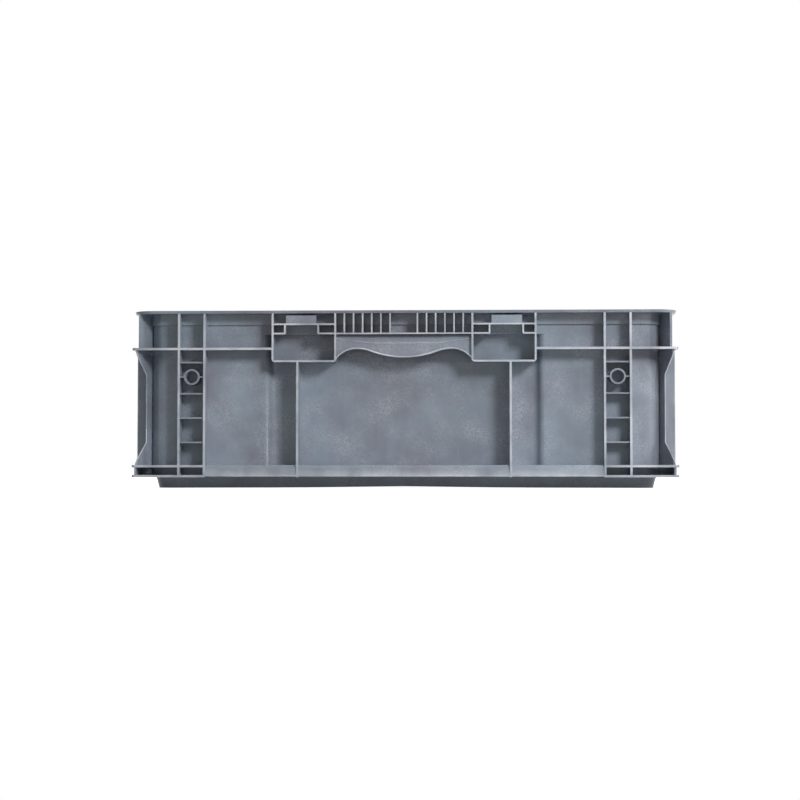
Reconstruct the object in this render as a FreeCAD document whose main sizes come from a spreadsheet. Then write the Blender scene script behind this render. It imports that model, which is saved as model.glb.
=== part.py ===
# Stacking container in injection-moulded plastic, 600 x 400 mm, one solid piece.
# X runs across the short ends, Y along the long sides, Z up; the origin is under the middle of the foot.
# One quarter is modelled, at positive X and Y, as bodies that are fused, hollowed out and then mirrored.
import FreeCAD, Part
import math
import os
import Sketcher

doc = FreeCAD.newDocument("StackingContainer")

driving_sizes = {
    # tub
    "boxLength": 600,
    "boxWidth": 400,
    "boxHeight": 130,
    "wallThickness": 2.5,
    "floorThickness": 2.5,
    "cornerRadius": 14,
    "ribDepth": 12.5,
    "sideRibDepth": 11,
    # rim and the wider band under it, where the foot of the next container sits
    "rimThickness": 2,
    "rimLean": 0.7,
    "rimCornerRadius": 15,
    "bandHeight": 9.6,
    "bandStep": 1.5,
    # flanges
    "flangeThickness": 1.7,
    "flangeCornerRadius": 3,
    "midFlangeHeight": 101.1,
    "baseFlangeHeight": 15.1,
    "baseSkinInset": 2.2,
    "baseSkinThickness": 1.5,
    # skirt between the base flanges
    "skirtBevel": 2.4,
    "skirtLean": 0.8,
    "skirtLip": 0.4,
    "skirtLipHeight": 1.2,
    "skirtLipDrop": 0.6,
    "skirtThickness": 1.8,
    # foot
    "footHeight": 7.8,
    "footInset": 14,
    "footSideInset": 14,
    "footLean": 2.2,
    "footWall": 2.5,
    "footCornerRadius": 14,
    "footBow": 1.2,
    "footBowReach": 150,
    "floorRibHeight": 4,
    "floorRibsAcross": 60,
    "floorRibsAlong": 90,
    # fins and the ribbed column beside each corner
    "finThickness": 1.6,
    "columnInset": 34.8,
    "columnWidth": 18.8,
    "columnRibThickness": 1.2,
    "columnRibSetback": 1.2,
    "columnRibLowest": 33.4,
    "columnRibPitch": 17.85,
    "columnRibHighest": 92,
    "bossHeight": 81.4,
    "bossDiameter": 11.7,
    "bossBore": 9,
    "bossBoreDepth": 10,
    # slanted web at the corner, notched under the middle flange
    "webInset": 2.8,
    "webSetback": 1.7,
    "webRimInset": 4.2,
    "webRimSetback": 4.6,
    "notchInset": 8.6,
    "notchTop": 83.4,
    "notchBottom": 33.4,
    # ribbed column on the long side, with a sink mark in front of each rib
    "sideColumnInset": 23.3,
    "sideColumnDrop": 1.3,
    "sinkMarkDepth": 0.25,
    "sinkMarkHeight": 1.3,
    "sideFinPitch": 74.7,
    # recess for the fingers
    "recessDepth": 5.5,
    "recessHalfWidth": 94,
    "recessBlend": 10,
    "recessTop": 113.2,
    "deepFinPlace": 78,
    "deepFinBottom": 7.9,
    # pocket for a lid clip, beside the grip
    "pocketInner": 50.2,
    "pocketOuter": 96.2,
    "pocketBottom": 92.8,
    "pocketWall": 1.4,
    "pocketCornerRadius": 2.5,
    "shelfHeight": 119.9,
    "shelfThickness": 1.2,
    "shelfBoxDrop": 6.8,
    "shelfBoxOuter": 9,
    "shelfBoxInner": 12.5,
    "blockGap": 1.5,
    "blockTop": 126.4,
    "blockSetback": 1,
    "blockWall": 2,
    # comb over the grip
    "railHeight": 113,
    "railThickness": 1.1,
    "combWindow": 20,
    "combRibThickness": 1.1,
    # grip
    "gripTop": 112.6,
    "gripWall": 2.2,
    "gripSetback": 2.2,
    "gripShoulderHeight": 112,
    "gripShoulderDepth": 4,
    "gripFaceDepth": 2.8,
    "gripFaceHeight": 106,
    "gripEndShoulderDepth": 3.6,
    "gripEndFaceDepth": 3,
    "gripEndFaceHeight": 109.6,
    "gripLowest": 92,
    "beadSetback": 1.6,
    "beadHeight": 1.3,
    "waveMiddleHeight": 95.2,
    "waveTurn": 24,
    "waveTurnHeight": 99.6,
    "waveCrest": 34.8,
    "waveCrestHeight": 101.6,
    "waveEndHeight": 93.7,
}
comb_rib_count = 6

sheet = doc.addObject("Spreadsheet::Sheet", "sizes")
for row, (alias, size) in enumerate(driving_sizes.items(), start=1):
    sheet.set(f"A{row}", alias)
    sheet.set(f"B{row}", str(size))
    sheet.setAlias(f"B{row}", alias)
doc.recompute()

# Places that several features share, as expressions on the sheet.
end_face = "sizes.boxLength / 2"
side_face = "sizes.boxWidth / 2"
end_wall = f"({end_face} - sizes.ribDepth)"
side_wall = f"({side_face} - sizes.sideRibDepth)"
end_root = f"({end_wall} - sizes.wallThickness / 2)"
side_root = f"({side_wall} - sizes.wallThickness / 2)"
recess_root = f"({end_root} - sizes.recessDepth)"
root_reach = "(sizes.ribDepth + sizes.wallThickness / 2)"
side_reach = "(sizes.sideRibDepth + sizes.wallThickness / 2)"
recess_reach = "(sizes.ribDepth + sizes.recessDepth + sizes.wallThickness / 2)"
rim_bottom = "(sizes.boxHeight - sizes.rimThickness)"
band_bottom = "(sizes.boxHeight - sizes.bandHeight)"
floor_top = "(sizes.footHeight + sizes.floorThickness)"
mid_flange_top = "(sizes.midFlangeHeight + sizes.flangeThickness)"
base_flange_top = "(sizes.baseFlangeHeight + sizes.flangeThickness)"
half_fin = "sizes.finThickness / 2"
end_column_outer = f"({side_face} - sizes.columnInset)"
end_column = (f"({end_column_outer} - sizes.columnWidth)", end_column_outer)
side_column_outer = f"({end_face} - sizes.sideColumnInset)"
side_column = (f"({side_column_outer} - sizes.columnWidth)", side_column_outer)


def new_body(name):
    body = doc.addObject("PartDesign::Body", name)
    body.AllowCompound = True
    return body


def new_sketch(body, name, role, height):
    # A sketch on one of the body's origin planes, moved along the plane's normal by an expression.
    planes = {plane.Role: plane for plane in body.Origin.OriginFeatures}
    sketch = body.newObject("Sketcher::SketchObject", name)
    sketch.AttachmentSupport = [(planes[role], "")]
    sketch.MapMode = "FlatFace"
    sketch.setExpression("AttachmentOffset.Base.z", height)
    return sketch


def bind(sketch, constraint, expression):
    index = sketch.addConstraint(constraint)
    sketch.setExpression(f"Constraints[{index}]", expression)


def pinned_point(sketch, across, up):
    # A construction point at two expressions; "0" puts it on an axis.
    point = sketch.addGeometry(Part.Point(FreeCAD.Vector(1, 1, 0)), True)
    for kind, axis, place in (("DistanceX", -2, across), ("DistanceY", -1, up)):
        if place == "0":
            sketch.addConstraint(Sketcher.Constraint("PointOnObject", point, 1, axis))
        else:
            bind(sketch, Sketcher.Constraint(kind, -1, 1, point, 1, 1.0), place)
    return point


def gauge_radius(sketch, radius):
    # A construction circle at the origin that carries a radius; arcs of the outline are made equal to it.
    circle = sketch.addGeometry(Part.Circle(FreeCAD.Vector(), FreeCAD.Vector(0, 0, 1), 1), True)
    sketch.addConstraint(Sketcher.Constraint("Coincident", circle, 3, -1, 1))
    bind(sketch, Sketcher.Constraint("Radius", circle, 1.0), radius)
    return circle


def draw_outline(sketch, corners):
    # A closed outline. Each corner is (across, up, extra): extra may hold "round", the corner's radius,
    # or "bow" and "side", the radius of the arc to the next corner and the side that it bulges to.
    points = [pinned_point(sketch, corner[0], corner[1]) for corner in corners]
    extras = [corner[2] if len(corner) > 2 else {} for corner in corners]
    gauges = {}
    for corner, extra in enumerate(extras):
        if extra:
            gauges[corner] = gauge_radius(sketch, extra.get("round", extra.get("bow")))
    sketch.recompute()
    places = [sketch.getPoint(point, 1) for point in points]
    radii = {corner: sketch.Geometry[gauge].Radius for corner, gauge in gauges.items()}
    rounds = {corner: radii[corner] for corner in radii if "round" in extras[corner]}
    count = len(points)
    edges = []
    for start in range(count):
        stop = (start + 1) % count
        if "bow" in extras[start]:
            edges.append(add_bow(sketch, places[start], places[stop], radii[start], extras[start]["side"]))
            sketch.addConstraint(Sketcher.Constraint("Equal", edges[start][0], gauges[start]))
            continue
        first = trimmed_end(places, start, start - 1, stop, rounds.get(start))
        last = trimmed_end(places, stop, (stop + 1) % count, start, rounds.get(stop))
        edges.append((sketch.addGeometry(Part.LineSegment(first, last), False), (1, 2)))
    for corner, point in enumerate(points):
        before, before_ends = edges[corner - 1]
        after, after_ends = edges[corner]
        if corner in rounds:
            round_corner(sketch, point, before, after, rounds[corner])
            sketch.addConstraint(Sketcher.Constraint("Equal", sketch.GeometryCount - 1, gauges[corner]))
            continue
        sketch.addConstraint(Sketcher.Constraint("Coincident", before, before_ends[1], point, 1))
        sketch.addConstraint(Sketcher.Constraint("Coincident", after, after_ends[0], point, 1))
    sketch.recompute()


def trimmed_end(places, corner, beyond, along, radius):
    # Where the line from a corner towards its neighbour starts, once the corner is rounded.
    if radius is None:
        return places[corner]
    ahead = (places[along] - places[corner]).normalize()
    back = (places[beyond] - places[corner]).normalize()
    return places[corner] + ahead * (radius / math.tan(ahead.getAngle(back) / 2))


def add_bow(sketch, first, last, radius, side):
    # An arc of a known radius between two places, with the ends of the new edge in the outline's order.
    chord = last - first
    rise = radius - math.sqrt(radius ** 2 - (chord.Length / 2) ** 2)
    middle = (first + last) / 2 + FreeCAD.Vector(-chord.y, chord.x, 0).normalize() * (rise * side)
    arc = sketch.addGeometry(Part.Arc(first, middle, last), False)
    starts_first = (sketch.getPoint(arc, 1) - first).Length < (sketch.getPoint(arc, 2) - first).Length
    return arc, ((1, 2) if starts_first else (2, 1))


def round_corner(sketch, point, before, after, radius):
    # The two lines stop short of the corner point and a tangent arc joins them.
    corner = sketch.getPoint(point, 1)
    first = sketch.getPoint(before, 2)
    last = sketch.getPoint(after, 1)
    inward = ((first + last) / 2 - corner).normalize()
    centre_reach = math.sqrt((first - corner).Length ** 2 + radius ** 2)
    middle = corner + inward * (centre_reach - radius)
    arc = sketch.addGeometry(Part.Arc(first, middle, last), False)
    starts_first = (sketch.getPoint(arc, 1) - first).Length < (sketch.getPoint(arc, 2) - first).Length
    arc_ends = (1, 2) if starts_first else (2, 1)
    sketch.addConstraint(Sketcher.Constraint("PointOnObject", point, 1, before))
    sketch.addConstraint(Sketcher.Constraint("PointOnObject", point, 1, after))
    sketch.addConstraint(Sketcher.Constraint("Tangent", before, 2, arc, arc_ends[0]))
    sketch.addConstraint(Sketcher.Constraint("Tangent", arc, arc_ends[1], after, 1))


def rectangle(left, right, bottom, top):
    return [(left, bottom), (right, bottom), (right, top), (left, top)]


def around(middle, half):
    # The two faces of a rib about its middle.
    return f"{middle} - {half}", f"{middle} + {half}"


def extrude(kind, name, sketch, length, away):
    # A pad grows along its sketch's normal and a pocket cuts against it, unless away is set.
    feature = sketch.getParentGeoFeatureGroup().newObject(f"PartDesign::{kind}", name)
    feature.Profile = sketch
    feature.setExpression("Length", length)
    feature.Reversed = away
    doc.recompute()
    return feature


def pad(name, sketch, length, away=False, lean=None):
    # With a lean, the pad's sides slope inwards by that much over its length.
    feature = extrude("Pad", name, sketch, length, away)
    if lean is not None:
        feature.setExpression("TaperAngle", f"-atan({lean} / ({length}))")
        doc.recompute()


def pocket(name, sketch, length, away=False):
    # Every pocket has to take material away.
    before = sketch.getParentGeoFeatureGroup().Shape.Volume
    feature = extrude("Pocket", name, sketch, length, away)
    assert feature.Shape.Volume < before, f"{name} cuts nothing"


def plan_quarter(across, along, radius):
    # A quarter of a rounded rectangle seen from above.
    return [("0", "0"), (across, "0"), (across, along, {"round": radius}), ("0", along)]


def tub_block(body):
    sketch = new_sketch(body, "tubPlan", "XY_Plane", "sizes.footHeight")
    draw_outline(sketch, plan_quarter(side_wall, end_wall, "sizes.cornerRadius"))
    pad("tubBlock", sketch, "sizes.boxHeight - sizes.footHeight")


def finger_recess(body):
    # The wall steps inwards behind the grip, through an S of two equal arcs.
    half_width = "sizes.recessHalfWidth"
    blend = "sizes.recessBlend"
    depth = "sizes.recessDepth"
    radius = f"({blend} ^ 2 + {depth} ^ 2) / (4 * {depth})"
    sketch = new_sketch(body, "recessPlan", "XY_Plane", "sizes.recessTop")
    draw_outline(sketch, [
        ("0", end_face),
        ("0", f"{end_wall} - {depth}"),
        (half_width, f"{end_wall} - {depth}", {"bow": radius, "side": -1}),
        (f"{half_width} + {blend} / 2", f"{end_wall} - {depth} / 2", {"bow": radius, "side": 1}),
        (f"{half_width} + {blend}", end_wall),
        (f"{half_width} + {blend}", end_face),
    ])
    pocket("fingerRecess", sketch, f"sizes.recessTop - {floor_top}")


def upper_band(body):
    sketch = new_sketch(body, "bandPlan", "XY_Plane", band_bottom)
    band_radius = "sizes.cornerRadius + sizes.bandStep"
    draw_outline(sketch, plan_quarter(
        f"{side_wall} + sizes.bandStep", f"{end_wall} + sizes.bandStep", band_radius))
    pad("upperBand", sketch, "sizes.bandHeight")


def rim(body):
    # The plan reaches past the middle of the container, so that only the outer sides lean.
    sketch = new_sketch(body, "rimPlan", "XY_Plane", "sizes.boxHeight")
    draw_outline(sketch, [
        ("-2 * sizes.rimLean", "-2 * sizes.rimLean"),
        (side_face, "-2 * sizes.rimLean"),
        (side_face, end_face, {"round": "sizes.rimCornerRadius"}),
        ("-2 * sizes.rimLean", end_face),
    ])
    pad("rim", sketch, "sizes.rimThickness", True, "sizes.rimLean")


def corner_flange(body, name, height, end_stop, side_stop):
    # An L in plan round the corner, from end_stop on the short end to side_stop on the long side.
    sketch = new_sketch(body, f"{name}Plan", "XY_Plane", height)
    draw_outline(sketch, [
        (end_stop, end_root),
        (end_stop, end_face),
        (side_face, end_face, {"round": "sizes.flangeCornerRadius"}),
        (side_face, side_stop),
        (side_root, side_stop),
        (side_root, end_root),
    ])
    pad(name, sketch, "sizes.flangeThickness")


def skirt(body, name, role, face, wall_root, away, length):
    # The sloped band that closes the gap between the base flanges, hollow underneath.
    lip_top = "(sizes.footHeight + sizes.skirtLipDrop + sizes.skirtLipHeight)"
    sketch = new_sketch(body, f"{name}Profile", role, "0")
    draw_outline(sketch, [
        (wall_root, base_flange_top),
        (f"{face} - sizes.skirtBevel", base_flange_top),
        (f"{face} - sizes.skirtLean", f"{base_flange_top} - sizes.skirtBevel"),
        (f"{face} - sizes.skirtLip", lip_top),
        (face, lip_top),
        (face, "sizes.footHeight + sizes.skirtLipDrop"),
        (f"{face} - sizes.skirtLip - sizes.skirtThickness", "sizes.footHeight + sizes.skirtLipDrop"),
        (f"{face} - sizes.skirtLean - sizes.skirtThickness", f"{base_flange_top} - sizes.skirtBevel"),
        (f"{face} - sizes.skirtBevel - sizes.skirtThickness", "sizes.baseFlangeHeight"),
        (wall_root, "sizes.baseFlangeHeight"),
    ])
    pad(name, sketch, length, away)


def end_fins(body):
    # Full-height fins on both sides of the ribbed column.
    sketch = new_sketch(body, "endFinFronts", "XZ_Plane", f"-({end_face})")
    for middle in end_column:
        left, right = around(middle, half_fin)
        draw_outline(sketch, rectangle(left, right, "sizes.footHeight", rim_bottom))
    pad("endFins", sketch, root_reach)


def deep_fin(body):
    # The fin under each clip pocket reaches back to the recessed wall and down past the skirt's lip.
    sketch = new_sketch(body, "deepFinFront", "XZ_Plane", f"-({end_face})")
    left, right = around("sizes.deepFinPlace", half_fin)
    draw_outline(sketch, rectangle(left, right, "sizes.deepFinBottom", "sizes.pocketBottom"))
    pad("deepFin", sketch, recess_reach)


def clip_pocket(body):
    # A U of walls under the rim; its inner wall also carries the comb and the grip.
    half_wall = "sizes.pocketWall / 2"
    inner_left, inner_right = around("sizes.pocketInner", half_wall)
    outer_left, outer_right = around("sizes.pocketOuter", half_wall)
    floor_low, floor_high = around("sizes.pocketBottom", half_wall)
    sketch = new_sketch(body, "pocketFront", "XZ_Plane", f"-({end_face})")
    draw_outline(sketch, [
        (inner_left, rim_bottom),
        (inner_left, floor_low, {"round": "sizes.pocketCornerRadius"}),
        (outer_right, floor_low, {"round": "sizes.pocketCornerRadius"}),
        (outer_right, rim_bottom),
        (outer_left, rim_bottom),
        (outer_left, floor_high),
        (inner_right, floor_high),
        (inner_right, rim_bottom),
    ])
    pad("clipPocket", sketch, recess_reach)


def clip_shelf(body):
    # The shelf across the pocket, with a small closed box under each of its ends.
    shelf_low, shelf_high = around("sizes.shelfHeight", "sizes.shelfThickness / 2")
    box_low = "(sizes.shelfHeight - sizes.shelfBoxDrop)"
    inner_end = "(sizes.pocketInner + sizes.shelfBoxInner)"
    outer_end = "(sizes.pocketOuter - sizes.shelfBoxOuter)"
    half_shelf = "sizes.shelfThickness / 2"
    sketch = new_sketch(body, "shelfFront", "XZ_Plane", f"-({end_face})")
    draw_outline(sketch, [
        ("sizes.pocketInner", shelf_high),
        ("sizes.pocketInner", shelf_low),
        (f"{inner_end} - {half_shelf}", shelf_low),
        (f"{inner_end} - {half_shelf}", f"{box_low} + {half_shelf}"),
        ("sizes.pocketInner", f"{box_low} + {half_shelf}"),
        ("sizes.pocketInner", f"{box_low} - {half_shelf}"),
        (f"{inner_end} + {half_shelf}", f"{box_low} - {half_shelf}", {"round": "sizes.shelfThickness"}),
        (f"{inner_end} + {half_shelf}", shelf_low),
        (f"{outer_end} - {half_shelf}", shelf_low),
        (f"{outer_end} - {half_shelf}", f"{box_low} - {half_shelf}", {"round": "sizes.shelfThickness"}),
        ("sizes.pocketOuter", f"{box_low} - {half_shelf}"),
        ("sizes.pocketOuter", f"{box_low} + {half_shelf}"),
        (f"{outer_end} + {half_shelf}", f"{box_low} + {half_shelf}"),
        (f"{outer_end} + {half_shelf}", shelf_low),
        ("sizes.pocketOuter", shelf_low),
        ("sizes.pocketOuter", shelf_high),
    ])
    pad("clipShelf", sketch, root_reach)


def clip_block(body):
    # The catch that stands on the shelf: a plate on two side webs, open at the top.
    left = "(sizes.pocketInner + sizes.shelfBoxInner + sizes.blockGap)"
    right = "(sizes.pocketOuter - sizes.shelfBoxOuter - sizes.blockGap / 2)"
    front = f"({end_face} - sizes.blockSetback)"
    sketch = new_sketch(body, "blockPlan", "XY_Plane", "sizes.shelfHeight")
    draw_outline(sketch, [
        (left, end_root),
        (left, front),
        (right, front),
        (right, end_root),
        (f"{right} - sizes.blockWall", end_root),
        (f"{right} - sizes.blockWall", f"{front} - sizes.blockWall"),
        (f"{left} + sizes.blockWall", f"{front} - sizes.blockWall"),
        (f"{left} + sizes.blockWall", end_root),
    ])
    pad("clipBlock", sketch, "sizes.blockTop - sizes.shelfHeight")


def comb(body):
    rail_low, rail_high = around("sizes.railHeight", "sizes.railThickness / 2")
    sketch = new_sketch(body, "railFront", "XZ_Plane", f"-({end_face})")
    draw_outline(sketch, rectangle("0", "sizes.pocketInner", rail_low, rail_high))
    pad("rail", sketch, recess_reach)
    sketch = new_sketch(body, "combFronts", "XZ_Plane", f"-({end_face})")
    for rib in range(comb_rib_count):
        window = "sizes.combWindow / 2"
        middle = f"({window} + (sizes.pocketInner - {window}) * {rib} / {comb_rib_count})"
        left, right = around(middle, "sizes.combRibThickness / 2")
        draw_outline(sketch, rectangle(left, right, "sizes.railHeight", rim_bottom))
    pad("combRibs", sketch, root_reach)


def column_ribs(drop):
    # The middles of a column's cross ribs, which sit lower by the drop.
    evenly = [f"sizes.columnRibLowest + {rib} * sizes.columnRibPitch" for rib in range(3)]
    return [f"({height} - {drop})" for height in evenly + ["sizes.bossHeight", "sizes.columnRibHighest"]]


def column(body, name, role, face, faces_out, stops, depth, drop):
    # Cross ribs and a round boss between the two fins of a column; stops are the middles of the fins.
    plane_height = f"{faces_out}({face} - sizes.columnRibSetback)"
    reach = f"({depth} - sizes.columnRibSetback)"
    away = faces_out == ""
    sketch = new_sketch(body, f"{name}RibFronts", role, plane_height)
    for height in column_ribs(drop):
        low, high = around(height, "sizes.columnRibThickness / 2")
        draw_outline(sketch, rectangle(stops[0], stops[1], low, high))
    pad(f"{name}Ribs", sketch, reach, away)
    middle = f"({stops[0]} + {stops[1]}) / 2"
    for feature, diameter in (("Boss", "sizes.bossDiameter"), ("Bore", "sizes.bossBore")):
        sketch = new_sketch(body, f"{name}{feature}Circle", role, plane_height)
        point = pinned_point(sketch, middle, f"(sizes.bossHeight - {drop})")
        sketch.recompute()
        centre = sketch.getPoint(point, 1)
        circle = sketch.addGeometry(Part.Circle(centre, FreeCAD.Vector(0, 0, 1), 1), False)
        sketch.addConstraint(Sketcher.Constraint("Coincident", circle, 3, point, 1))
        bind(sketch, Sketcher.Constraint("Diameter", circle, 1.0), diameter)
        if feature == "Boss":
            pad(f"{name}Boss", sketch, reach, away)
        else:
            pocket(f"{name}Bore", sketch, "sizes.bossBoreDepth", not away)


def corner_web(body):
    # Slants from the foot of the side column to the corner; under the middle flange it is notched.
    for name, inset, setback, bottom, top in (
            ("web", "sizes.webInset", "sizes.webSetback", "sizes.baseFlangeHeight", mid_flange_top),
            ("rimWeb", "sizes.webRimInset", "sizes.webRimSetback", "sizes.midFlangeHeight", rim_bottom)):
        root = (side_root, side_column_outer)
        tip = (f"({side_face} - {inset})", f"({end_face} - {setback})")
        sketch = new_sketch(body, f"{name}Plan", "XY_Plane", bottom)
        draw_outline(sketch, [
            (root[0], root[1]),
            (f"{root[0]} + sizes.finThickness", root[1]),
            (tip[0], tip[1]),
            (f"{tip[0]} - sizes.finThickness", tip[1]),
        ])
        pad(name, sketch, f"{top} - ({bottom})")
    notch = f"({side_face} - sizes.notchInset)"
    tip = f"({side_face} - sizes.webInset)"
    sketch = new_sketch(body, "notchFront", "XZ_Plane", f"-({end_face})")
    draw_outline(sketch, [
        (tip, base_flange_top),
        (side_face, base_flange_top),
        (side_face, "sizes.midFlangeHeight"),
        (tip, "sizes.midFlangeHeight"),
        (notch, "sizes.notchTop"),
        (notch, "sizes.notchBottom"),
    ])
    pocket("notch", sketch, "sizes.sideColumnInset", True)


def side_fins(body):
    # The column's two fins, the fins of the upper band and one tall fin on each half of the long side.
    sketch = new_sketch(body, "sideFinFronts", "YZ_Plane", side_face)
    for middle in side_column:
        left, right = around(middle, half_fin)
        draw_outline(sketch, rectangle(left, right, "sizes.footHeight", "sizes.midFlangeHeight"))
    draw_outline(sketch, rectangle("0", half_fin, "sizes.midFlangeHeight", rim_bottom))
    left, right = around("sizes.sideFinPitch", half_fin)
    draw_outline(sketch, rectangle(left, right, "sizes.midFlangeHeight", rim_bottom))
    left, right = around("(2 * sizes.sideFinPitch)", half_fin)
    draw_outline(sketch, rectangle(left, right, "sizes.baseFlangeHeight", rim_bottom))
    left, right = around("(3 * sizes.sideFinPitch)", half_fin)
    draw_outline(sketch, rectangle(left, right, "sizes.midFlangeHeight", rim_bottom))
    pad("sideFins", sketch, side_reach, True)
    sketch = new_sketch(body, "sinkMarkFronts", "XZ_Plane", f"-({side_column_outer} + {half_fin})")
    for height in column_ribs("sizes.sideColumnDrop"):
        low, high = around(height, "sizes.sinkMarkHeight / 2")
        draw_outline(sketch, rectangle(side_wall, side_face, low, high))
    pocket("sinkMarks", sketch, "sizes.sinkMarkDepth", True)


def base_skin(body):
    # An upright plate that closes the corner bay between the base flanges on the long side.
    outer = f"({side_face} - sizes.baseSkinInset)"
    sketch = new_sketch(body, "baseSkinPlan", "XY_Plane", "sizes.footHeight")
    draw_outline(sketch, rectangle(
        f"{outer} - sizes.baseSkinThickness", outer, side_column[0], f"{end_face} - {half_fin}"))
    pad("baseSkin", sketch, "sizes.baseFlangeHeight - sizes.footHeight")


def grip(body):
    # The hood comes forward under the rail and bends down; towards its ends the bend rises to the rail.
    # Its lower edge is a wave of three arcs.
    middle = ("sizes.gripShoulderDepth", "sizes.gripFaceDepth", "sizes.gripFaceHeight")
    end = ("sizes.gripEndShoulderDepth", "sizes.gripEndFaceDepth", "sizes.gripEndFaceHeight")
    sections = (
        ("gripMiddle", "0", middle), ("gripTurn", "sizes.waveTurn", middle), ("gripEnd", "sizes.pocketInner", end))
    shoulder_height = "sizes.gripShoulderHeight"
    wall = "sizes.gripWall"
    sketches = []
    for name, place, (shoulder_depth, face_depth, face_height) in sections:
        sketch = new_sketch(body, name, "YZ_Plane", place)
        draw_outline(sketch, [
            (recess_root, "sizes.gripTop"),
            (f"{end_face} - {shoulder_depth}", shoulder_height),
            (f"{end_face} - {face_depth}", face_height),
            (f"{end_face} - sizes.gripSetback", "sizes.gripLowest"),
            (f"{end_face} - sizes.gripSetback - {wall}", "sizes.gripLowest"),
            (f"{end_face} - {face_depth} - {wall}", f"{face_height} - {wall} / 2"),
            (f"{end_face} - {shoulder_depth} - {wall}", f"{shoulder_height} - {wall}"),
            (recess_root, f"sizes.gripTop - {wall}"),
        ])
        sketches.append(sketch)
    loft = body.newObject("PartDesign::AdditiveLoft", "gripHood")
    loft.Profile = sketches[0]
    loft.Sections = sketches[1:]
    loft.Ruled = True
    doc.recompute()
    wave(body)


def wave(body):
    # Each arc is level at the middle or at the crest, so its radius follows from its run and rise.
    stations = (
        ("0", "sizes.waveMiddleHeight"),
        ("sizes.waveTurn", "sizes.waveTurnHeight"),
        ("sizes.waveCrest", "sizes.waveCrestHeight"),
        ("sizes.pocketInner", "sizes.waveEndHeight"),
    )
    edge = []
    for (near, near_height), (far, far_height), side in zip(stations, stations[1:], (-1, 1, 1)):
        radius = arc_radius(f"({far} - {near})", f"({far_height} - {near_height})")
        edge.append((near, near_height, {"bow": radius, "side": side}))
    edge.append(stations[-1])
    below = "sizes.gripLowest - sizes.gripWall"
    sketch = new_sketch(body, "waveFront", "XZ_Plane", f"-({end_face})")
    draw_outline(sketch, edge + [("sizes.pocketInner", below), ("0", below)])
    pocket("gripWave", sketch, "sizes.ribDepth + sizes.recessDepth", True)
    # A bead follows the wave along the lower edge.
    raised = []
    for corner, after in zip(edge[1:], edge):
        raised.append((corner[0], f"{corner[1]} + sizes.beadHeight", dict(after[2], side=-after[2]["side"])))
    raised.reverse()
    raised.append(("0", "sizes.waveMiddleHeight + sizes.beadHeight"))
    sketch = new_sketch(body, "beadFront", "XZ_Plane", f"-({end_face} - sizes.beadSetback)")
    draw_outline(sketch, edge + raised)
    pad("gripBead", sketch, "sizes.gripEndFaceDepth - sizes.beadSetback")


def arc_radius(run, rise):
    # The radius of an arc that starts level.
    return f"({run} ^ 2 + {rise} ^ 2) / (2 * abs({rise}))"


def interior(body):
    # Under the ledge the walls are straight; behind the finger recess they follow it inwards.
    inner_side = f"({side_wall} - sizes.wallThickness)"
    inner_end = f"({end_wall} - sizes.wallThickness)"
    inner_radius = "sizes.cornerRadius - sizes.wallThickness"
    recess_ceiling = "(sizes.recessTop + sizes.wallThickness)"
    ledge = f"({band_bottom} + sizes.wallThickness)"
    bump = "(sizes.recessHalfWidth + sizes.wallThickness)"
    sketch = new_sketch(body, "hollowPlan", "XY_Plane", floor_top)
    draw_outline(sketch, [
        ("0", "0"),
        (inner_side, "0"),
        (inner_side, inner_end, {"round": inner_radius}),
        (f"{bump} + sizes.recessBlend", inner_end),
        (bump, f"{inner_end} - sizes.recessDepth"),
        ("0", f"{inner_end} - sizes.recessDepth"),
    ])
    pad("hollow", sketch, f"{recess_ceiling} - {floor_top}")
    sketch = new_sketch(body, "throatPlan", "XY_Plane", recess_ceiling)
    draw_outline(sketch, plan_quarter(inner_side, inner_end, inner_radius))
    pad("throat", sketch, f"{ledge} - {recess_ceiling}")
    sketch = new_sketch(body, "mouthPlan", "XY_Plane", ledge)
    step = "sizes.bandStep"
    draw_outline(sketch, plan_quarter(
        f"{inner_side} + {step}", f"{inner_end} + {step}", f"{inner_radius} + {step}"))
    pad("mouth", sketch, f"sizes.boxHeight - {ledge}")


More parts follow.
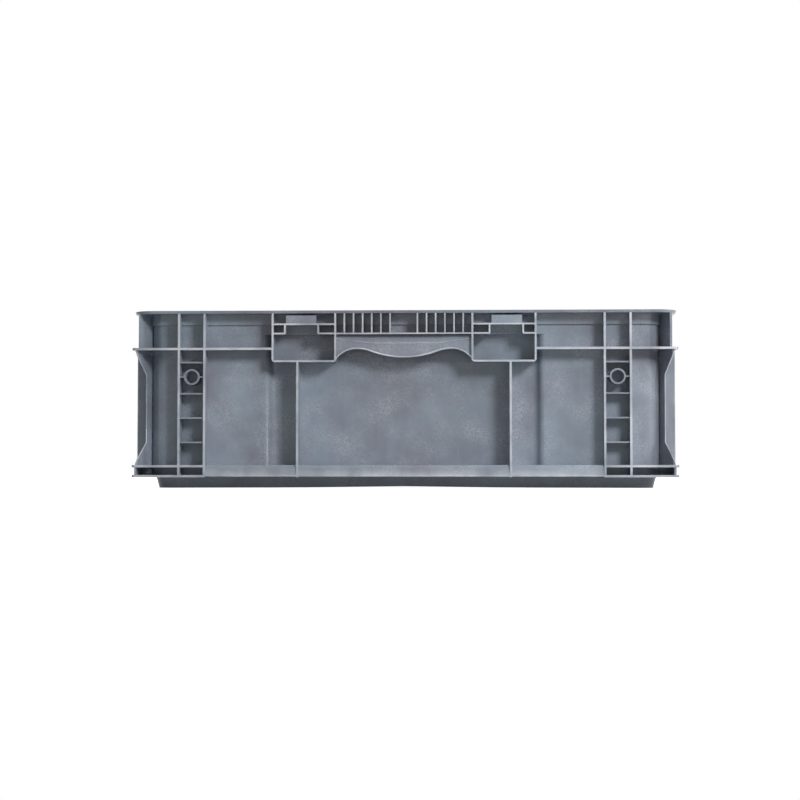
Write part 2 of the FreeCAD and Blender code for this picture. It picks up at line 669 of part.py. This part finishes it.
def foot(body):
    # A ring with sides that lean in towards the ground; at the short ends its lower edge bows up.
    lean = "sizes.footLean"
    wall = "sizes.footWall"
    outer = (f"({side_face} - sizes.footSideInset)", f"({end_face} - sizes.footInset)")
    inner = (f"({outer[0]} - {lean} - {wall})", f"({outer[1]} - {lean} - {wall})")
    sketch = new_sketch(body, "footPlan", "XY_Plane", "sizes.footHeight")
    draw_outline(sketch, [
        (f"-2 * {lean}", f"-2 * {lean}"),
        (outer[0], f"-2 * {lean}"),
        (outer[0], outer[1], {"round": "sizes.footCornerRadius"}),
        (f"-2 * {lean}", outer[1]),
    ])
    pad("foot", sketch, "sizes.footHeight", True, lean)
    sketch = new_sketch(body, "footHollowPlan", "XY_Plane", "0")
    draw_outline(sketch, [
        (f"-3 * {lean}", f"-3 * {lean}"),
        (inner[0], f"-3 * {lean}"),
        (inner[0], inner[1], {"round": f"sizes.footCornerRadius - {lean} - {wall}"}),
        (f"-3 * {lean}", inner[1]),
    ])
    pocket("footHollow", sketch, "sizes.footHeight", True)
    sketch = new_sketch(body, "footBowFront", "XZ_Plane", f"-({end_face})")
    bow = {"bow": arc_radius("sizes.footBowReach", "sizes.footBow"), "side": 1}
    draw_outline(sketch, [("0", "0"), ("sizes.footBowReach", "0", bow), ("0", "sizes.footBow")])
    pocket("footBow", sketch, f"sizes.footInset + 2 * ({lean} + {wall})", True)
    rib_bottom = "sizes.footHeight - sizes.floorRibHeight"
    inside = (f"{inner[0]} + {wall} / 2", f"{inner[1]} + {wall} / 2")
    sketch = new_sketch(body, "lengthwiseRibPlan", "XY_Plane", rib_bottom)
    for rib in (1, 2):
        left, right = around(f"({rib} * sizes.floorRibsAcross)", half_fin)
        draw_outline(sketch, rectangle(left, right, "0", inside[1]))
    pad("lengthwiseRibs", sketch, "sizes.floorRibHeight + sizes.floorThickness / 2")
    sketch = new_sketch(body, "crosswiseRibPlan", "XY_Plane", rib_bottom)
    for rib in (1, 2):
        near, far = around(f"({rib} * sizes.floorRibsAlong)", half_fin)
        draw_outline(sketch, rectangle("0", inside[0], near, far))
    pad("crosswiseRibs", sketch, "sizes.floorRibHeight + sizes.floorThickness / 2")


def fused(name, pieces):
    fuse = doc.addObject("Part::MultiFuse", name)
    fuse.Shapes = pieces
    fuse.Refine = True
    return fuse


def mirrored(name, source, normal):
    mirror = doc.addObject("Part::Mirroring", name)
    mirror.Source = source
    mirror.Normal = normal
    return mirror


tub = new_body("tub")
tub_block(tub)
finger_recess(tub)
upper_band(tub)
rim(tub)
foot(tub)

flanges = new_body("flanges")
corner_flange(flanges, "midFlange", "sizes.midFlangeHeight", "sizes.pocketOuter", "0")
corner_flange(flanges, "baseFlange", "sizes.baseFlangeHeight", end_column[0], side_column[0])
corner_flange(flanges, "lowerFlange", "sizes.footHeight", end_column[0], side_column[0])
skirt(flanges, "endSkirt", "YZ_Plane", end_face, recess_root, False, end_column[0])
skirt(flanges, "sideSkirt", "XZ_Plane", side_face, side_root, True, side_column[0])
base_skin(flanges)

fins = new_body("fins")
end_fins(fins)
side_fins(fins)
corner_web(fins)

columns = new_body("columns")
column(columns, "endColumn", "XZ_Plane", end_face, "-", end_column, root_reach, "0")
column(columns, "sideColumn", "YZ_Plane", side_face, "", side_column, side_reach, "sizes.sideColumnDrop")

pocket_walls = new_body("pocketWalls")
clip_pocket(pocket_walls)
deep_fin(pocket_walls)
clip_shelf(pocket_walls)
clip_block(pocket_walls)
comb(pocket_walls)

hood = new_body("hood")
grip(hood)

hollow = new_body("interior")
interior(hollow)

outside = fused("outside", [tub, flanges, fins, columns, pocket_walls, hood])
hollowed = doc.addObject("Part::Cut", "hollowed")
hollowed.Base = outside
hollowed.Tool = hollow
quarter_space = doc.addObject("Part::Box", "quarterSpace")
for side, size in (("Length", side_face), ("Width", end_face), ("Height", "sizes.boxHeight")):
    quarter_space.setExpression(side, size)
quarter = doc.addObject("Part::Common", "quarter")
quarter.Base = hollowed
quarter.Tool = quarter_space
doc.recompute()
across = mirrored("quarterAcross", quarter, (1, 0, 0))
along = mirrored("quarterAlong", quarter, (0, 1, 0))
opposite = mirrored("quarterOpposite", across, (0, 1, 0))
container = fused("container", [quarter, across, along, opposite])
container.Label = "container"
container.Placement = FreeCAD.Placement()
doc.recompute()

for item in doc.Objects:
    assert "Invalid" not in item.State and "Error" not in item.State, f"{item.Name}: {item.State}"
assert not container.Shape.isNull() and container.Shape.isValid(), "the container's shape is broken"
assert len(container.Shape.Solids) == 1, "the container isn't one solid"

os.makedirs("parts", exist_ok=True)
container.Shape.exportStep("parts/container.step")
bounds = container.Shape.BoundBox
print(f"container {bounds.XLength:.1f} x {bounds.YLength:.1f} x {bounds.ZLength:.1f} mm, "
      f"{container.Shape.Volume / 1000:.0f} cm3")
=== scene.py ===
# Stacking container in blue-grey polypropylene, dressed and lit for a studio picture.
import math

import bpy
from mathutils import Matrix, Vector


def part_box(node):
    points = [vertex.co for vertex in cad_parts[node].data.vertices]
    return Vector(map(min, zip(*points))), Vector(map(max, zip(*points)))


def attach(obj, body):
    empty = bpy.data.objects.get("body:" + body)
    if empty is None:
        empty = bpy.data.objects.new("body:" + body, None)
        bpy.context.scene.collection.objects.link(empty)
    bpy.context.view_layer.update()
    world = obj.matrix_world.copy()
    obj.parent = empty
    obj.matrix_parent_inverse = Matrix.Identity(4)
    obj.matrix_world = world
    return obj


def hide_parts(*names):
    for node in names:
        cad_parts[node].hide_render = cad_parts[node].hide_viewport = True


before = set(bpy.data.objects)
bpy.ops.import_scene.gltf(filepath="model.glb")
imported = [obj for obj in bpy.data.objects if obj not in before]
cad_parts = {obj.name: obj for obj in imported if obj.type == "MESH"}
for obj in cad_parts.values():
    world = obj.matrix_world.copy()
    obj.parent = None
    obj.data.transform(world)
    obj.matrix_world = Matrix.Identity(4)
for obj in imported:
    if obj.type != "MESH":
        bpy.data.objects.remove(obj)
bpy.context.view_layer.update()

mm = 0.001


def hexToLinear(text):  # "#rrggbb" as picked on screen, to the linear colour that shaders use
    channels = [int(text[i:i + 2], 16) / 255 for i in (1, 3, 5)]
    return tuple(c / 12.92 if c <= 0.04045 else ((c + 0.055) / 1.055) ** 2.4 for c in channels) + (1.0,)


def addNode(tree, kind, settings={}, values={}, links={}):  # links: socket to the output that feeds it
    node = tree.nodes.new("ShaderNode" + kind)
    for name, setting in settings.items():
        setattr(node, name, setting)
    for socket, value in values.items():
        node.inputs[socket].default_value = value
    for socket, output in links.items():
        tree.links.new(output, node.inputs[socket])
    return node


def newMaterial(name):
    material = bpy.data.materials.new(name)
    material.use_nodes = True
    material.node_tree.nodes.clear()
    return material


# the moulding, all in one piece
moulding = {
    "coolColour": "#818c98",
    "warmColour": "#777a85",
    "scuffColour": "#a8afb8",
    # pale of rubbed wear, also a painted highlight on the outermost edges, rounded edges and beads
    "rubbedAndHighlightColour": "#cdd1d8",
    "flowMarks": 55 * mm,         # how far apart the clouds of the melt's flow are
    "flowDetail": 3,
    "flowSwirl": 0.6,
    "flowContrast": (0.36, 0.64),
    "haze": 22 * mm,              # size of the dulled patches
    "hazeDetail": 5,
    "hazeContrast": (0.3, 0.7),
    "speck": 0.8 * mm,            # grain of the scuffs, about as fine as the picture can show
    "speckDetail": 3,
    "speckContrast": (0.35, 0.75),
    "scuffPatches": (0.38, 0.72),
    "drawMarks": 3 * mm,          # width of the streaks that run the way the mould opens
    "drawDetail": 2,
    "drawLength": 22,             # how many times longer than wide they are
    "drawContrast": (0.5, 0.9),
    "drawStrength": 0.22,
    "rubAndHighlightBand": 0.9 * mm,          # how deep the rubbed wear and painted edge highlight on the outermost edges go
    "rubAndHighlightFull": 0.2,               # outer part of that depth in which it is full
    "rubAndHighlightTop": 127.8 * mm,         # the rim above this leans back and is left without the rubbed wear and painted highlight
    "rubAndHighlightContrast": (0.3, 0.65),
    "rubAndHighlightShare": (0.15, 0.8),      # least and most of the pale colour of rubbed wear and painted highlight
    "polished": 0.2,              # roughness of the band under the rim, where nothing rubs
    "smooth": 0.32,               # and of the walls, where the mould was polished
    "hazy": 0.42,                 # and where they have dulled
    "bandFrom": 96 * mm,          # height where the polished band starts
    "bandFade": 1 * mm,
    "ior": 1.49,
    "specular": 0.32,             # low, because the white backdrop shows in every reflection
    "orangePeel": 5 * mm,
    "peelDetail": 1,
    "peelDepth": 0.07 * mm,
    "grain": 0.9 * mm,
    "grainDetail": 2,
    "grainDepth": 0.02 * mm,      # of the streaks too
    "bumpStrength": 0.5,
    "merge": 0.005 * mm,
    "flatWithin": 0.5,            # degrees between triangles that are one flat face
    "edgeRadius": 0.45 * mm,
    "edgeSteps": 2,
    "edgeFrom": 35,               # degrees from which an edge is rounded
    "smoothWithin": 30,           # degrees up to which faces are shaded as one
}


def contrast(tree, source, limits, low=0, high=1):  # limits of a pattern spread out to low and high
    values = {"From Min": limits[0], "From Max": limits[1], "To Min": low, "To Max": high}
    return addNode(tree, "MapRange", values=values, links={0: source}).outputs[0]


def outermost(tree, axes, reach):  # 1 on what other containers rub against, all round and below the rim; the pale colour there is rubbed wear and also a painted highlight on the front edges
    edges = []
    for axis, far in enumerate(reach):
        outward = addNode(tree, "Math", {"operation": "ABSOLUTE"}, links={0: axes.outputs[axis]})
        edge = addNode(tree, "MapRange", {"interpolation_type": "SMOOTHSTEP"}, {
            "From Min": far - moulding["rubAndHighlightBand"],
            "From Max": far - moulding["rubAndHighlightFull"] * moulding["rubAndHighlightBand"],
        }, {0: outward.outputs[0]})
        edges.append(edge.outputs[0])
    either = addNode(tree, "Math", {"operation": "MAXIMUM"}, links={0: edges[0], 1: edges[1]})
    below = addNode(tree, "Math", {"operation": "LESS_THAN"}, {1: moulding["rubAndHighlightTop"]}, {0: axes.outputs[2]})
    return addNode(tree, "Math", {"operation": "MULTIPLY"}, links={0: either.outputs[0], 1: below.outputs[0]})


def polypropylene(name, reach, onEdges):
    # Polypropylene, injection moulded and used: a waxy blue-grey with faint clouds from the melt's flow and
    # streaks from leaving the mould, semi-gloss where the mould was polished, hazy with fine pale scuffs
    # elsewhere, and rubbed pale where other containers touch it and on its rounded edges, a pale that is also
    # a painted highlight there.
    material = newMaterial(name)
    tree = material.node_tree
    place = addNode(tree, "TexCoord").outputs["Object"]
    axes = addNode(tree, "SeparateXYZ", links={0: place})

    flow = addNode(tree, "TexNoise", links={"Vector": place}, values={
        "Scale": 1 / moulding["flowMarks"],
        "Detail": moulding["flowDetail"],
        "Distortion": moulding["flowSwirl"],
    })
    patchy = addNode(tree, "TexNoise", links={"Vector": place}, values={
        "Scale": 1 / moulding["haze"], "Detail": moulding["hazeDetail"]})
    specks = addNode(tree, "TexNoise", links={"Vector": place}, values={
        "Scale": 1 / moulding["speck"], "Detail": moulding["speckDetail"]})
    drawn = addNode(tree, "Mapping", values={"Scale": (1, 1, 1 / moulding["drawLength"])}, links={0: place})
    streaks = addNode(tree, "TexNoise", links={"Vector": drawn.outputs[0]}, values={
        "Scale": 1 / moulding["drawMarks"], "Detail": moulding["drawDetail"]})

    cloud = contrast(tree, flow.outputs[0], moulding["flowContrast"])
    tone = addNode(tree, "Mix", {"data_type": "RGBA"}, links={0: cloud}, values={
        6: hexToLinear(moulding["warmColour"]), 7: hexToLinear(moulding["coolColour"])})

    where = contrast(tree, patchy.outputs[0], moulding["scuffPatches"])
    which = contrast(tree, specks.outputs[0], moulding["speckContrast"])
    lines = contrast(tree, streaks.outputs[0], moulding["drawContrast"], high=moulding["drawStrength"])
    scuffs = addNode(tree, "Math", {"operation": "MULTIPLY"}, links={0: where, 1: which})
    scuffs = addNode(tree, "Math", {"operation": "MAXIMUM"}, links={0: scuffs.outputs[0], 1: lines})
    scuffed = addNode(tree, "Mix", {"data_type": "RGBA"}, {7: hexToLinear(moulding["scuffColour"])},
                      {0: scuffs.outputs[0], 6: tone.outputs[2]})

    # the pale on the edges: rubbed wear and a painted edge highlight in one colour
    rubAndHighlightAmount = contrast(tree, patchy.outputs[0], moulding["rubAndHighlightContrast"], *moulding["rubAndHighlightShare"])
    if not onEdges:
        mask = outermost(tree, axes, reach)
        both = addNode(tree, "Math", {"operation": "MULTIPLY"}, links={0: rubAndHighlightAmount, 1: mask.outputs[0]})
        rubAndHighlightAmount = both.outputs[0]
    wornAndHighlit = addNode(tree, "Mix", {"data_type": "RGBA"}, {7: hexToLinear(moulding["rubbedAndHighlightColour"])},
                   {0: rubAndHighlightAmount, 6: scuffed.outputs[2]})

    haze = contrast(tree, patchy.outputs[0], moulding["hazeContrast"], moulding["smooth"], moulding["hazy"])
    bandTo = moulding["bandFrom"] + moulding["bandFade"]
    band = contrast(tree, axes.outputs[2], (moulding["bandFrom"], bandTo))
    gloss = addNode(tree, "Mix", values={3: moulding["polished"]}, links={0: band, 2: haze})

    peel = addNode(tree, "TexNoise", links={"Vector": place}, values={
        "Scale": 1 / moulding["orangePeel"], "Detail": moulding["peelDetail"]})
    grain = addNode(tree, "TexNoise", links={"Vector": place}, values={
        "Scale": 1 / moulding["grain"], "Detail": moulding["grainDetail"]})
    fine = {"Strength": moulding["bumpStrength"], "Distance": moulding["grainDepth"]}
    coarse = {"Strength": moulding["bumpStrength"], "Distance": moulding["peelDepth"]}
    peeled = addNode(tree, "Bump", values=coarse, links={"Height": peel.outputs[0]})
    pulled = addNode(tree, "Bump", values=fine, links={
        "Height": streaks.outputs[0], "Normal": peeled.outputs[0]})
    grained = addNode(tree, "Bump", values=fine, links={
        "Height": grain.outputs[0], "Normal": pulled.outputs[0]})

    shader = addNode(tree, "BsdfPrincipled", values={
        "IOR": moulding["ior"], "Specular IOR Level": moulding["specular"]}, links={
        "Base Color": wornAndHighlit.outputs[2], "Roughness": gloss.outputs[0], "Normal": grained.outputs[0]})
    addNode(tree, "OutputMaterial", links={"Surface": shader.outputs[0]})
    return material


def mergedCopy(source, name):  # the CAD solid as whole flat faces instead of loose triangles
    bpy.ops.object.select_all(action="DESELECT")
    source.select_set(True)
    bpy.context.view_layer.objects.active = source
    bpy.ops.object.duplicate()
    piece = bpy.context.active_object
    piece.name = piece.data.name = name
    bpy.ops.object.mode_set(mode="EDIT")
    bpy.ops.mesh.select_all(action="SELECT")
    bpy.ops.mesh.remove_doubles(threshold=moulding["merge"])
    bpy.ops.mesh.dissolve_limited(angle_limit=math.radians(moulding["flatWithin"]))
    bpy.ops.object.mode_set(mode="OBJECT")
    return piece


def keepOutwardEdges(mesh):  # rounded inner corners get the walls' material back, since nothing rubs them and they get no painted highlight
    sides = {}
    for face in mesh.polygons:
        for edge in face.edge_keys:
            sides.setdefault(edge, []).append(face)
    for face in mesh.polygons:
        if face.material_index == 1:
            beside = [other for edge in face.edge_keys for other in sides[edge]]
            if sum(other.normal.dot(face.center - other.center) for other in beside) > 0:
                face.material_index = 0


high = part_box("container")[1]
reach = high[:2]
walls = polypropylene("injectionMouldedPolypropylene", reach, onEdges=False)
# the rounded edges' material: rubbed wear and a painted highlight in one pale colour
rubbedAndHighlitEdges = polypropylene("rubbedAndHighlitPolypropyleneEdges", reach, onEdges=True)
container = mergedCopy(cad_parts["container"], "mouldedContainer")
rounding = container.modifiers.new("mouldRadius", "BEVEL")
rounding.width = moulding["edgeRadius"]
rounding.segments = moulding["edgeSteps"]
rounding.limit_method = "ANGLE"
rounding.angle_limit = math.radians(moulding["edgeFrom"])
rounding.harden_normals = True
# the rounded edges take the pale colour, a painted highlight as well as wear
rounding.material = 1
container.data.materials.clear()
container.data.materials.append(walls)
container.data.materials.append(rubbedAndHighlitEdges)
bpy.ops.object.shade_smooth_by_angle(angle=math.radians(moulding["smoothWithin"]))
bpy.ops.object.modifier_apply(modifier=rounding.name)
keepOutwardEdges(container.data)
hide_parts("container")
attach(container, "root")
print("container dressed,", len(container.data.polygons), "faces")

# beads along the wavy edge and the fold of each grip, and round the notch of each corner web; their pale
# colour is a painted highlight, on the wavy edges and notches also rubbed wear
beads = {
    "roundness": 3,
    "smoothWithin": 50,       # degrees up to which faces are shaded as one
    "gripRadius": 0.65 * mm,
    "gripReach": 298.2 * mm,  # from the middle of the container to the middle of the bead
    "gripStep": 1.5 * mm,
    "waveLow": (0 * mm, 95.2 * mm),
    "waveTurn": (24 * mm, 99.6 * mm),
    "waveCrest": (34.8 * mm, 101.6 * mm),
    "waveEnd": (50.2 * mm, 93.7 * mm),
    "foldRadius": 0.3 * mm,
    "foldPath": (             # width, length and height of its corners, in millimetres
        (-50.2, 297.1, 109.6), (-24, 297.3, 106), (24, 297.3, 106), (50.2, 297.1, 109.6)),
    "notchRadius": 0.45 * mm,
    "notchPath": (            # the same, from under the middle flange down
        (197.2, 298.3, 101), (195.6, 298.3, 96.2), (191.4, 286.7, 83.4),
        (191.4, 286.7, 33.4), (195.6, 298.3, 21.4), (197.2, 298.3, 16.9)),
}


def arcRadius(run, rise):  # of an arc that starts level
    return (run ** 2 + rise ** 2) / (2 * rise)


def waveHeight(x):  # arcs that are level in the middle and at the crests
    lowX, lowZ = beads["waveLow"]
    turnX, turnZ = beads["waveTurn"]
    crestX, crestZ = beads["waveCrest"]
    endX, endZ = beads["waveEnd"]
    if abs(x) < turnX:
        radius = arcRadius(turnX - lowX, turnZ - lowZ)
        return lowZ + radius - math.sqrt(radius ** 2 - x ** 2)
    if abs(x) < crestX:
        radius = arcRadius(crestX - turnX, crestZ - turnZ)
    else:
        radius = arcRadius(endX - crestX, crestZ - endZ)
    return crestZ - radius + math.sqrt(radius ** 2 - (abs(x) - crestX) ** 2)


def roundBeads(name, paths, radius):
    bpy.ops.object.select_all(action="DESELECT")
    curve = bpy.data.curves.new(name, "CURVE")
    curve.dimensions = "3D"
    curve.bevel_depth = radius
    curve.bevel_resolution = beads["roundness"]
    curve.use_fill_caps = True
    for path in paths:
        line = curve.splines.new("POLY")
        line.points.add(len(path) - 1)
        for point, corner in zip(line.points, path):
            point.co = (*corner, 1)
    bead = bpy.data.objects.new(name, curve)
    bpy.context.scene.collection.objects.link(bead)
    bead.select_set(True)
    bpy.context.view_layer.objects.active = bead
    bpy.ops.object.convert(target="MESH")
    bead = bpy.context.active_object
    bpy.ops.object.mode_set(mode="EDIT")
    bpy.ops.mesh.select_all(action="SELECT")
    bpy.ops.mesh.normals_make_consistent(inside=False)
    bpy.ops.object.mode_set(mode="OBJECT")
    bpy.ops.object.shade_smooth_by_angle(angle=math.radians(beads["smoothWithin"]))
    # pale: a painted highlight along each bead
    bead.data.materials.clear()
    bead.data.materials.append(rubbedAndHighlitEdges)
    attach(bead, "root")


end = beads["waveEnd"][0]
steps = round(end / beads["gripStep"])
across = [end * i / steps for i in range(-steps, steps + 1)]
waves = [[(x, side * beads["gripReach"], waveHeight(x) + beads["gripRadius"]) for x in across]
         for side in (-1, 1)]
roundBeads("gripBeads", waves, beads["gripRadius"])
folds = [[(x * mm, side * y * mm, z * mm) for x, y, z in beads["foldPath"]] for side in (-1, 1)]
roundBeads("gripFolds", folds, beads["foldRadius"])
notches = [[(right * x * mm, back * y * mm, z * mm) for x, y, z in beads["notchPath"]]
           for right in (-1, 1) for back in (-1, 1)]
roundBeads("notchBeads", notches, beads["notchRadius"])
print("beads made")

# studio: the camera looks a little up at the short end, from just right of the middle
camera = {
    "target": Vector((-2.7, -300, 64.2)) * mm,
    "distance": 1200 * mm,
    "azimuth": 2.1,
    "elevation": -2.4,
    "lens": 74,
}
lamps = {
    # name: azimuth, elevation and distance from the camera's target, width, height, watts
    "key": (37, 27, 1.25, 0.3, 0.3, 10.5),
    "strip": (70, 8, 1.2, 0.14, 0.5, 3.2),
    "top": (8, 58, 1.1, 0.7, 0.14, 2.6),
    "fill": (-20, 20, 2.4, 1.6, 1.0, 1.6),
    "backLeft": (-142, 32, 2.1, 0.9, 0.9, 15),
    "backRight": (142, 32, 2.1, 0.9, 0.9, 15),
}
backdrop = {
    "floorSize": 12,
    "floorColour": "#b4b4b2",
    "floorRoughness": 0.9,
    "floorGlow": 0.9,         # what is added where the floor is seen, so that it shows white
    "ambient": 0.09,
}


def spotAround(azimuth, elevation, distance):
    turn = math.radians(azimuth)
    rise = math.radians(elevation)
    away = Vector((math.sin(turn) * math.cos(rise), -math.cos(turn) * math.cos(rise), math.sin(rise)))
    return camera["target"] + away * distance


def aim(name, data, spot):
    item = bpy.data.objects.new(name, data)
    bpy.context.scene.collection.objects.link(item)
    item.location = spot
    item.rotation_euler = (camera["target"] - spot).to_track_quat("-Z", "Y").to_euler()
    return item


photoCamera = bpy.data.cameras.new("photoCamera")
photoCamera.lens = camera["lens"]
spot = spotAround(camera["azimuth"], camera["elevation"], camera["distance"])
bpy.context.scene.camera = aim("photoCamera", photoCamera, spot)

for name, (azimuth, elevation, distance, width, height, watts) in lamps.items():
    lamp = bpy.data.lights.new(name, "AREA")
    lamp.shape = "RECTANGLE"
    lamp.size = width
    lamp.size_y = height
    lamp.energy = watts
    aim(name, lamp, spotAround(azimuth, elevation, distance))


def seenDirectly(tree):  # 1 for what the camera sees itself, in gloss or through something clear
    rays = addNode(tree, "LightPath").outputs
    seen = addNode(tree, "Math", {"operation": "MAXIMUM"},
                   links={0: rays["Is Camera Ray"], 1: rays["Is Glossy Ray"]})
    seen = addNode(tree, "Math", {"operation": "MAXIMUM"},
                   links={0: seen.outputs[0], 1: rays["Is Transmission Ray"]})
    return seen.outputs[0]


world = bpy.data.worlds.new("studio")
bpy.context.scene.world = world
world.use_nodes = True
tree = world.node_tree
tree.nodes.clear()
ambient = addNode(tree, "Background", values={"Color": (1, 1, 1, 1), "Strength": backdrop["ambient"]})
white = addNode(tree, "Background", values={"Color": (1, 1, 1, 1), "Strength": 1})
both = addNode(tree, "MixShader", links={0: seenDirectly(tree), 1: ambient.outputs[0], 2: white.outputs[0]})
addNode(tree, "OutputWorld", links={"Surface": both.outputs[0]})

bpy.ops.object.select_all(action="DESELECT")
bpy.ops.mesh.primitive_plane_add(size=backdrop["floorSize"], location=(0, 0, 0))
floor = bpy.context.active_object
floor.name = "floor"
paper = newMaterial("paleBackdropPaper")  # matt seamless paper, white where it is seen, with its shadow
tree = paper.node_tree
matte = addNode(tree, "BsdfPrincipled", values={
    "Base Color": hexToLinear(backdrop["floorColour"]), "Roughness": backdrop["floorRoughness"]})
seen = addNode(tree, "Math", {"operation": "MULTIPLY"}, {1: backdrop["floorGlow"]}, {0: seenDirectly(tree)})
glow = addNode(tree, "Emission", values={"Color": (1, 1, 1, 1)}, links={"Strength": seen.outputs[0]})
both = addNode(tree, "AddShader", links={0: matte.outputs[0], 1: glow.outputs[0]})
addNode(tree, "OutputMaterial", links={"Surface": both.outputs[0]})
floor.data.materials.append(paper)

bpy.context.scene.view_settings.view_transform = "Standard"
print("studio ready")
